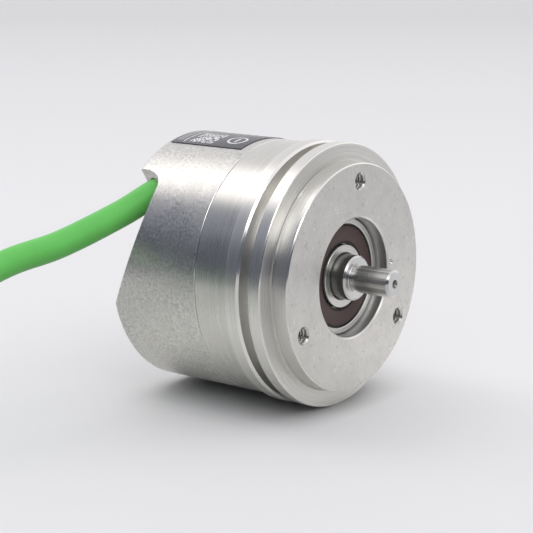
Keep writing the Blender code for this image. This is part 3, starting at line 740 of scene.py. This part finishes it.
def flange_outline():
    """The housing's section as (radius, y): over the face and the outside, and back through the inside."""
    rear_y = JOINT_Y - SEAM
    relief_r = BODY_R - 0.18
    mouth = [(RECESS_R, FACE_Y + 0.38), (RECESS_R + 0.4, FACE_Y)]
    spigot = [
        (SPIGOT_R - 0.25, FACE_Y), (SPIGOT_R, FACE_Y + 0.25), (SPIGOT_R, -0.4), (SPIGOT_R + 0.12, -0.12),
        (SPIGOT_R + 0.4, 0),
    ]
    lip = [(RIM_R - 0.2, 0), (RIM_R, 0.2), (RIM_R, LIP_THICK - 0.15), (RIM_R - 0.15, LIP_THICK)]
    groove = [(GROOVE_R, LIP_THICK), (GROOVE_R, GROOVE_END_Y)]
    band = [
        (RIM_R - 0.5, GROOVE_END_Y), (RIM_R, GROOVE_END_Y + 0.5), (RIM_R, BAND_END_Y - 0.12),
        (RIM_R - 0.12, BAND_END_Y),
    ]
    body = [
        (relief_r, BAND_END_Y), (relief_r, BAND_END_Y + 0.3), (BODY_R, BAND_END_Y + 0.36),
        (BODY_R, rear_y - 0.06), (BODY_R - 0.06, rear_y),
    ]
    cover_seat_and_ring_groove = [
        (26.0, rear_y), (26.0, 18.3), (25.0, 18.3), (25.0, 19.7), (26.0, 19.7), (26.0, 20.4), (24.0, 20.4),
    ]
    hollow = [(24.0, 8.5), (14.2, 8.5), (14.2, 18.3)]
    rear_bearing_seat = [
        (11.1, 18.3), (11.1, 17.6), (11.65, 17.6), (11.65, 16.45), (11.1, 16.45), (11.1, 9.3), (9.5, 9.3),
        (9.5, RECESS_END_Y), (RECESS_R, RECESS_END_Y),
    ]
    outside = [*mouth, *spigot, *lip, *groove, *band, *body]
    return [*outside, *cover_seat_and_ring_groove, *hollow, *rear_bearing_seat]


def finish_flange(housing):
    """Gives each zone of the housing its finish: face, chamfers, spigot root, body, recess and inside; the
    chamfers and the spigot root take a shinier finish whose paler tone is partly a painted highlight.
    """
    zones = (
        ("face", lambda radius, y, facing: y < FACE_Y + 0.05 and facing < -0.95),
        # The chamfers and the spigot root's fillet: a shinier finish, its paler tone partly a painted
        # highlight
        ("edge", lambda radius, y, facing: radius > 24.5 and y < 7 and -0.93 < facing < -0.35),
        ("edge", lambda radius, y, facing: 25.0 < radius < 25.4 and -0.42 < y < 0 and facing < -0.1),
        ("body", lambda radius, y, facing: BAND_END_Y < y < JOINT_Y and radius > 28),
        ("bore", lambda radius, y, facing: radius < RECESS_R + 0.05 and y < 7.5),
        ("inside", lambda radius, y, facing: radius < 25.9 and y > 7.6),
    )
    for finish, chosen in zones:
        paint(housing, MATERIALS[finish], chosen)


def flange():
    """The flange housing with its bosses, threaded holes and a punch mark on its face."""
    housing = lathe("flange_body", flange_outline(), MATERIALS["bright"], round_by=0.07, sharp=SHARP_TURNED)
    finish_flange(housing)
    bosses = boss_rods(BOSS_R, BOSS_ROOT_Y, BOARD_BOSS_END_Y, 32, BOARD_SCREW_ANGLES)
    bosses += boss_rods(BOSS_R, BOSS_ROOT_Y, COVER_BOSS_END_Y, 32, COVER_SCREW_ANGLES)
    combine(housing, merged("bosses", bosses, MATERIALS["inside"]), "UNION", SHARP_TURNED)
    holes = boss_rods(1.25, 19.5, 26.8, 24, BOARD_SCREW_ANGLES)
    holes += boss_rods(1.4, 9.0, 21.4, 24, COVER_SCREW_ANGLES)
    holes += [thread_cutter(on_circle(HOLE_CIRCLE_R, angle), FACE_Y - 0.6, 5.0) for angle in HOLE_ANGLES]
    combine(housing, merged("holes", holes, MATERIALS["tapped"]), "DIFFERENCE", SHARP_TURNED)
    before = FACE_Y - 1.0
    sink = [(0, before), (3.0, before), (1.3, FACE_Y + 0.7), (0, FACE_Y + 0.7)]
    marks = [lathe("mouth", sink, None, 48, place=on_circle(HOLE_CIRCLE_R, angle)) for angle in HOLE_ANGLES]
    point = [(0, before), (1.58, before), (0, FACE_Y + 0.8)]
    marks.append(lathe("punch", point, None, 32, place=Matrix.Translation((PUNCH_X, 0, PUNCH_Z))))
    combine(housing, merged("marks", marks, MATERIALS["tapped"]), "DIFFERENCE", SHARP_TURNED)
    stand_for(housing, "stator", "flange_housing")


# Bearing seen in the recess


def bearing_outer_race():
    """The outer race with its rounded front edges, the seal's seats and the ball groove."""
    face = BEARING_FACE_Y
    outline = [
        (11.45, face + 0.15), (11.6, face), (12.6, face), (12.98, face + 0.38), (12.98, 6.8), (12.6, 7.18),
        (11.45, 7.18), (11.45, 6.0), (10.7, 6.0), (10.7, 4.9), (11.2, 4.2), (11.38, 3.2), (11.2, 2.2),
        (10.7, 1.5), (10.7, 0.4), (11.45, 0.4),
    ]
    race = lathe("bearing_outer_race", outline, MATERIALS["ring"], round_by=0.06, sharp=SHARP_TURNED)
    stand_for(race, "stator", "front_bearing_outer_ring")


def bearing_inner_race():
    """The inner race, which stands a little proud of the outer one."""
    face = BEARING_FACE_Y
    outline = [
        (5.33, face - 0.2), (6.8, face - 0.2), (6.94, face - 0.06), (6.94, 0.4), (7.4, 0.4), (7.4, 1.5),
        (6.8, 2.2), (6.62, 3.2), (6.8, 4.2), (7.4, 4.9), (7.4, 6.0), (6.94, 6.0), (6.94, 7.2), (5.0, 7.2),
        (5.0, face + 0.13),
    ]
    race = lathe("bearing_inner_race", outline, MATERIALS["ring"], 160, round_by=0.05, sharp=SHARP_TURNED)
    stand_for(race, "rotor", "front_bearing_inner_ring")


def bearing_seal():
    """The rubber seal between the races, its lip and its outer bead in black."""
    outline = [
        (7.16, -0.05), (7.16, -0.32), (7.42, -0.42), (7.62, -0.36), (7.7, -0.52), (7.95, -0.6), (10.6, -0.6),
        (10.9, -0.55), (11.02, -0.38), (11.2, -0.38), (11.34, -0.3), (11.34, 0.1), (7.6, 0.1),
    ]
    seal = lathe("bearing_seal", outline, MATERIALS["seal"], 192, round_by=0.05)
    paint(seal, MATERIALS["dark"], lambda radius, y, facing: radius < 7.7 or radius > 10.97)
    stand_for(seal, "stator", "front_bearing_seal")


# Shaft


def shaft():
    """The shaft: a centre-drilled end, an undercut before the collar, the journal and the disc's seat."""
    tip, collar, journal_end, rear = SHAFT_TIP_Y, -4.58, 16.6, 24.2
    end_r, collar_r, journal_r, seat_r = 3.0, 4.55, 4.95, 4.0
    outline = [
        (0, tip + 1.55), (0.45, tip + 1.25), (0.45, tip + 0.85), (0.95, tip), (end_r - 0.45, tip),
        (end_r, tip + 0.45), (end_r, -5.35), (2.8, -5.15), (2.8, -4.75), (end_r, -4.7), (3.45, -4.7),
        (3.5, collar), (collar_r, collar), (journal_r, collar + 0.4), (journal_r, journal_end),
        (seat_r, journal_end), (seat_r, rear - 0.4), (seat_r - 0.4, rear), (0, rear),
    ]
    spindle = lathe("shaft_turned", outline, MATERIALS["steel"], 128, round_by=0.05, sharp=SHARP_TURNED)
    # Painted shade: the centre hole in the shaft's end is coloured with the darker steel
    paint(spindle, MATERIALS["dark_steel"], lambda radius, y, facing: radius < 0.97 and y < tip + 2)
    # The journal behind the collar takes the darker steel as well
    paint(spindle, MATERIALS["dark_steel"], lambda radius, y, facing: y > collar + 0.5 and radius > 4.9)
    stand_for(spindle, "rotor", "shaft")


# Rear cover


def pocket_cutter(grown):
    """The cable pocket's space: a sloping floor and a wall that leans outward, joined by a round corner."""
    far_across, far_out, far_along = 60.0, 50.0, 70
    angle = radians(POCKET_ANGLE)
    radial = Vector((sin(angle), 0, cos(angle)))
    across = Vector((cos(angle), 0, -sin(angle)))
    out = (POCKET_SLOPE * radial + Vector((0, 1, 0))).normalized()
    along = across.cross(out)
    corner_t = POCKET_WALL_T - POCKET_FILLET_R
    corner_r = POCKET_FILLET_R + grown
    steps = 24
    outline = [(-far_across, -grown)]
    for step in range(steps + 1):
        turn = -pi / 2 + step * pi / 2 / steps
        outline.append((corner_t + corner_r * cos(turn), POCKET_FILLET_R + corner_r * sin(turn)))
    outline += [(POCKET_WALL_T + grown, far_out), (-far_across, far_out)]
    rim = Vector((0, POCKET_PLANE_Y, 0)) + POCKET_RIM_REACH * along
    sweep = along + POCKET_LEAN * across
    rings = []
    for reach in (-far_along, far_along):
        rings.append([rim + t * across + h * out + reach * sweep for t, h in outline])
    return chain("pocket", rings, MATERIALS["cast"], False)


def cable_direction():
    """The cable's direction where it leaves the cover."""
    return (CABLE_EXIT - CABLE_START).normalized()


def at_cable_exit():
    """The place where the cable leaves the cover, with Y turned along the cable."""
    turn = Vector((0, 1, 0)).rotation_difference(cable_direction()).to_matrix().to_4x4()
    return Matrix.Translation(CABLE_EXIT) @ turn


def rear_cover():
    """The cast cover: a cup with the cable pocket, the stepped hole for the cable and three screw seats."""
    y0, y1 = JOINT_Y + SEAM, COVER_END_Y
    outline = [
        (0, y0), (BODY_R - 0.1, y0), (BODY_R, y0 + 0.1), (BODY_R, y1 - 0.5), (BODY_R - 0.15, y1 - 0.15),
        (BODY_R - 0.5, y1), (0, y1),
    ]
    cast = MATERIALS["cast"]
    cover = lathe("cover_shell", outline, cast, round_by=0.06)
    chamfer_end = y0 + 0.2
    # The cover's front chamfer: the shinier chamfer finish, its paler tone partly a painted highlight
    paint(
        cover, MATERIALS["edge"],
        lambda radius, y, facing: radius > 28 and y < chamfer_end and -0.95 < facing < -0.3,
    )
    hollow = rod(BODY_R - COVER_WALL, y0 - 1, y1 - COVER_WALL, ROUND, material=cast)
    combine(hollow, pocket_cutter(COVER_WALL), "DIFFERENCE")
    combine(cover, hollow, "DIFFERENCE")
    combine(cover, pocket_cutter(0), "DIFFERENCE")
    bore = [(0, -6.5), (4.4, -6.5), (4.4, -0.9), (3.2, -0.9), (3.2, 9), (0, 9)]
    cuts = [lathe("bore", bore, None, 96, place=at_cable_exit())]
    seat_y, past = y1 - 1.7, y1 + 0.5
    sink = [(0, seat_y - 2), (1.5, seat_y - 2), (1.5, seat_y), (3.6, past), (0, past)]
    for angle in COVER_SCREW_ANGLES:
        cuts.append(lathe("sink", sink, None, 48, place=on_circle(BOSS_CIRCLE_R, angle)))
    combine(cover, merged("cuts", cuts, cast), "DIFFERENCE")
    stand_for(cover, "stator", "rear_cover")


def cover_screws():
    """Countersunk screws with a hexagon socket."""
    head_y = COVER_END_Y - 0.3
    outline = [
        (0, 9.6), (1.0, 9.6), (1.2, 9.9), (1.2, head_y - 1.3), (2.2, head_y - 0.15), (2.2, head_y),
        (0, head_y),
    ]
    steel = MATERIALS["steel"]
    for index, angle in enumerate(COVER_SCREW_ANGLES):
        place = on_circle(BOSS_CIRCLE_R, angle)
        screw = lathe(f"cover_bolt_{index + 1}", outline, steel, 48, round_by=0.04, place=place)
        combine(screw, rod(0.9, head_y - 1.0, head_y + 1, 6, place, steel), "DIFFERENCE")
        stand_for(screw, "stator", f"cover_screw_{index + 1}")


# Label


def curved_slab(bm, r0, r1, corners):
    """Adds a closed slab on the cover: corners are (arc length in mm, y) pairs going round."""
    rows = []
    for radius in (r0, r1):
        row = []
        for arc, y in corners:
            angle = arc / BODY_R
            point = Vector((radius * sin(angle), y, radius * cos(angle))) * MM
            row.append(bm.verts.new(TO_SHOULDER @ point))
        rows.append(row)
    bm.faces.new(rows[0])
    bm.faces.new(reversed(rows[1]))
    count = len(corners)
    for i in range(count):
        j = (i + 1) % count
        bm.faces.new((rows[0][j], rows[0][i], rows[1][i], rows[1][j]))


def label():
    """The label film wrapped over the top of the cover, and its print."""
    inner, outer = BODY_R + 0.04, BODY_R + 0.17
    outline = [(inner, LABEL_Y0), (outer, LABEL_Y0), (outer, LABEL_Y1), (inner, LABEL_Y1)]
    turn = LABEL_TO_ANGLE - LABEL_FROM_ANGLE
    film = lathe(
        "label_film", outline, MATERIALS["label"], 96, round_by=0.03, start=LABEL_FROM_ANGLE, turn=turn,
    )
    stand_for(film, "stator", "label")
    label_print(outer + 0.005, outer + 0.03, radians(LABEL_FROM_ANGLE) * BODY_R)


def label_print(r0, r1, left):
    """Generic marks: rules, a random field of squares, a ring with a bar, and plain lines."""
    bm = bmesh.new()

    def box(arc0, arc1, y0, y1):
        """A slab in short steps, so that a long one follows the curve."""
        steps = max(1, ceil((arc1 - arc0) / 1.2))
        for step in range(steps):
            a = left + arc0 + (arc1 - arc0) * step / steps
            b = left + arc0 + (arc1 - arc0) * (step + 1) / steps
            curved_slab(bm, r0, r1, [(a, y0), (b, y0), (b, y1), (a, y1)])

    def ring(arc, y, outer, inner, steps):
        """A flat ring of these two radii."""
        for step in range(steps):
            one, two = tau * step / steps, tau * (step + 1) / steps
            turns = ((outer, one), (outer, two), (inner, two), (inner, one))
            corners = [(left + arc + r * cos(angle), y + r * sin(angle)) for r, angle in turns]
            curved_slab(bm, r0, r1, corners)

    def field(arc0, y0, cells, cell, inked, chance):
        """Squares at random in a grid; inked is a square's share of its cell."""
        draw = random.Random(58)
        for row in range(cells):
            for column in range(cells):
                if draw.random() < chance:
                    arc, y = arc0 + column * cell, y0 + row * cell
                    box(arc, arc + cell * inked, y, y + cell * inked)

    box(0.6, 38.0, 37.0, 37.3)
    field(1.0, 29.3, 18, 0.36, 0.92, 0.56)
    ring(4.4, 24.6, 2.4, 1.9, 28)
    box(3.2, 5.6, 24.35, 24.85)
    for row in range(5):
        box(11.0, 11.0 + 14 - 2.2 * (row % 3), 24.0 + row * 2.2, 24.35 + row * 2.2)
    box(1.2, 20.0, 38.3, 38.5)
    box(1.2, 16.0, 39.1, 39.3)
    mesh = bpy.data.meshes.new("label_print")
    bmesh.ops.recalc_face_normals(bm, faces=bm.faces)
    bm.to_mesh(mesh)
    bm.free()
    marks = bpy.data.objects.new("label_print", mesh)
    bpy.context.scene.collection.objects.link(marks)
    mesh.materials.append(MATERIALS["print"])
    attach(marks, "stator")


# Cable


def tube(name, frames, outer, inner, material, sides, lip=0.12):
    """An open tube along the frames, its rims rounded a little."""
    ahead = [ring_points(frame_at, outer, sides) for frame_at in frames]
    back = [ring_points(frame_at, inner, sides) for frame_at in reversed(frames)]
    first = ring_points(frames[0], outer - lip, sides)
    last = ring_points(frames[-1], outer - lip, sides)
    for row, rim, neighbour in ((ahead[0], frames[0], frames[1]), (ahead[-1], frames[-1], frames[-2])):
        shift = lip * (neighbour[0] - rim[0]).normalized()
        for i, point in enumerate(row):
            row[i] = point + shift
    return chain(name, [first, *ahead, last, *back], material, True)


def cable():
    """The jacket, the braid that stands out of its end, four cores and the grommet, along one path."""
    path = smooth_path(CABLE_POINTS, 14)
    frames = frames_along(path)
    last_step = path[-1] - path[-2]
    ahead = Vector((last_step.x, last_step.y, 0)).normalized()
    sheath = tube("jacket", frames, 3.0, 2.25, MATERIALS["green"], 48)
    stand_for(sheath, "stator", "cable_jacket")
    point, side, up = frames[-1]
    bare = [(point + reach * ahead, side, up) for reach in (1.3, 2.6, 4.0)]
    braid = tube("shield_braid", [*frames[6:], *bare], 2.05, 1.65, MATERIALS["braid"], 32, 0.05)
    stand_for(braid, "stator", "cable_shield")
    for index, slot in enumerate(("core_white", "core_yellow", "core_blue", "core_orange")):
        cable_core(index, frames, ahead)
    outline = [(3.4, -3.8), (4.2, -3.8), (4.25, -3.7), (4.25, -1.4), (4.1, -1.25), (3.4, -1.25)]
    seal = lathe("grommet", outline, MATERIALS["dark"], 96, round_by=0.06, place=at_cable_exit())
    stand_for(seal, "stator", "cable_grommet")


def cable_core(index, frames, ahead):
    """One core: from its place in the plug's row, along the cable and out of its stripped end, splayed."""
    place_in_row = (0, 2, 3, 1)[index]
    quarter = tau * (index + 0.5) / 4
    offsets = [0.85 * (cos(quarter) * side + sin(quarter) * up) for _, side, up in frames]
    line = [point + offset for (point, _, _), offset in zip(frames, offsets)]
    in_plug = Vector((1.5 - 2.0 * place_in_row, 32.6, 11.6))
    behind_exit = line[0] - 3.6 * cable_direction() + 0.8 * offsets[0]
    lead = smooth_path([in_plug, in_plug + Vector((0, 0, 2.2)), behind_exit, line[0]], 10)
    tail = smooth_path([line[-1], line[-1] + 5 * ahead, line[-1] + 14.0 * ahead + 2.0 * offsets[-1]], 8)
    wire = [*lead[:-1], *line, *tail[1:]]
    rings = [ring_points(frame_at, 0.5, 16) for frame_at in frames_along(wire)]
    core = chain(f"core_{index + 1}", rings, MATERIALS[f"core_{index + 1}"], False)
    stand_for(core, "stator", f"cable_core_{index + 1}")


# Pieces that keep their CAD shape


def dress_cad_nodes():
    """Gives every carried-over CAD node the material of its slot."""
    by_slot = {
        "machined_aluminium": "face",
        "cast_aluminium": "cast",
        "ground_steel": "steel",
        "bearing_steel": "ring",
        "brown_rubber": "seal",
        "black_rubber": "dark",
        "green_jacket": "green",
        "tinned_copper": "braid",
        "circuit_board": "board",
        "black_plastic": "black",
        "white_plastic": "white",
        "optical_glass": "glass",
        "label_film": "label",
        "core_white": "core_1",
        "core_yellow": "core_2",
        "core_blue": "core_3",
        "core_orange": "core_4",
    }
    slots = {part["node"]: part["material_slot"] for part in frame["record"]["subparts"]}
    for name, node in frame["nodes"].items():
        node.data.materials.clear()
        node.data.materials.append(MATERIALS[by_slot[slots[name]]])


# Studio


# Camera: the point it looks at and its distance in metres, its angles in degrees, its lens in millimetres
TARGET = Vector((-0.0022, -0.0229, 0.0))
CAMERA_AZIMUTH = -52.82
CAMERA_ELEVATION = 12.13
CAMERA_DISTANCE = 0.370
CAMERA_LENS = 111.95
# The light tent's own colour
TENT = (0.92, 0.915, 0.945)
# Round patches of the tent, each as: direction, inner and outer angle of its soft edge, colour
PATCHES = (
    ((0.73, 0.59, 0.34), 20, 40, (0.94, 0.93, 0.95)),  # beyond the object
    ((0.94, -0.33, 0.10), 18, 45, (1.05, 1.04, 1.03)),  # paler side, which the front face mirrors
    ((0.42, -0.90, 0.10), 12, 40, (0.28, 0.28, 0.29)),  # dark opening before the front face
    ((-0.056, 0.59, 0.805), 5, 22, (1.75, 1.67, 1.68)),  # light behind the object, high up
    ((-0.42, -0.62, 0.66), 9, 17, (2.6, 2.6, 2.6)),  # lamp above the camera
    ((-0.66, 0.62, 0.42), 20, 31, (0.23, 0.25, 0.32)),  # dark opening behind the cable, on the left
)
# Thin tube of light that runs along Y overhead: degrees from upright, half its width, colour
TUBE_LIGHT = (-5, 1.2, (3.0, 3.0, 3.0))
# Dark side of the room: level direction, height of its soft upper edge, colour
DARK_SIDE = ((-0.97, -0.25, 0.0), 0.43, (0.095, 0.105, 0.14))
SEEN_BEYOND_FLOOR = (0.80, 0.80, 0.82)


def world():
    """A pale light tent with lamps and dark openings that the metal mirrors; the camera sees it plain."""
    made = bpy.data.worlds.new("studio")
    bpy.context.scene.world = made
    made.use_nodes = True
    w = Wiring(made.node_tree, "Generated")

    def patch(colour, direction, inner, outer, level):
        toward = w.distance(Vector(direction).normalized())
        edge = w.range(toward, 0, 1, cos(radians(outer)), cos(radians(inner)), smooth=True)
        return w.tint(edge, colour, level)

    def tube_light(colour, azimuth, half_width, level):
        side = w.distance((cos(radians(azimuth)), 0, -sin(radians(azimuth))))
        reach = sin(radians(half_width))
        edge = w.range(w.math("ABSOLUTE", side), 0, 1, 1.4 * reach, 0.6 * reach, smooth=True)
        return w.tint(edge, colour, level)

    def dark_side(colour, direction, top, level):
        height = w.split(w.place)[2]
        edge = w.range(height, 0, 1, top + 0.04, top - 0.04, smooth=True)
        return w.tint(edge, colour, patch(colour, direction, 62, 84, level))

    colour = TENT
    for direction, inner, outer, level in PATCHES:
        colour = patch(colour, direction, inner, outer, level)
    colour = tube_light(colour, *TUBE_LIGHT)
    colour = dark_side(colour, *DARK_SIDE)
    seen = w.tint(w.light_path("Is Camera Ray"), colour, SEEN_BEYOND_FLOOR)
    w.feed(w.tree.nodes["Background"].inputs["Color"], seen)


def floor():
    """A wide disc of paper just under the object's lowest point."""
    radius, gap = 4.0, 0.00005
    bm = bmesh.new()
    bmesh.ops.create_circle(bm, cap_ends=True, segments=96, radius=radius)
    mesh = bpy.data.meshes.new("floor")
    bm.to_mesh(mesh)
    bm.free()
    paper = bpy.data.objects.new("floor", mesh)
    bpy.context.scene.collection.objects.link(paper)
    paper.location.z = CAD_BOX[0][2] - gap
    mesh.materials.append(paper_floor())


def overhead_light():
    """A weak square lamp behind the object, high up, for a soft shadow towards the camera."""
    data = bpy.data.lights.new("overhead", "AREA")
    data.shape = "RECTANGLE"
    data.size = data.size_y = 1.3
    data.energy = 2.0
    data.color = (1.0, 0.985, 0.97)
    lamp = bpy.data.objects.new("overhead", data)
    bpy.context.scene.collection.objects.link(lamp)
    direction = Vector((-0.06, 0.59, 0.80)).normalized()
    lamp.location = TARGET + 3.0 * direction
    lamp.rotation_euler = direction.to_track_quat("Z", "Y").to_euler()


def camera():
    """The camera and the view transform."""
    data = bpy.data.cameras.new("camera")
    data.sensor_width = 36
    data.lens = CAMERA_LENS
    eye = bpy.data.objects.new("camera", data)
    bpy.context.scene.collection.objects.link(eye)
    azimuth, elevation = radians(CAMERA_AZIMUTH), radians(CAMERA_ELEVATION)
    back = Vector((sin(azimuth) * cos(elevation), -cos(azimuth) * cos(elevation), sin(elevation)))
    eye.location = TARGET + CAMERA_DISTANCE * back
    eye.rotation_euler = back.to_track_quat("Z", "Y").to_euler()
    bpy.context.scene.camera = eye
    bpy.context.scene.view_settings.view_transform = "Standard"


dress_cad_nodes()
flange()
bearing_outer_race()
bearing_inner_race()
bearing_seal()
shaft()
rear_cover()
cover_screws()
label()
cable()
world()
floor()
overhead_light()
camera()
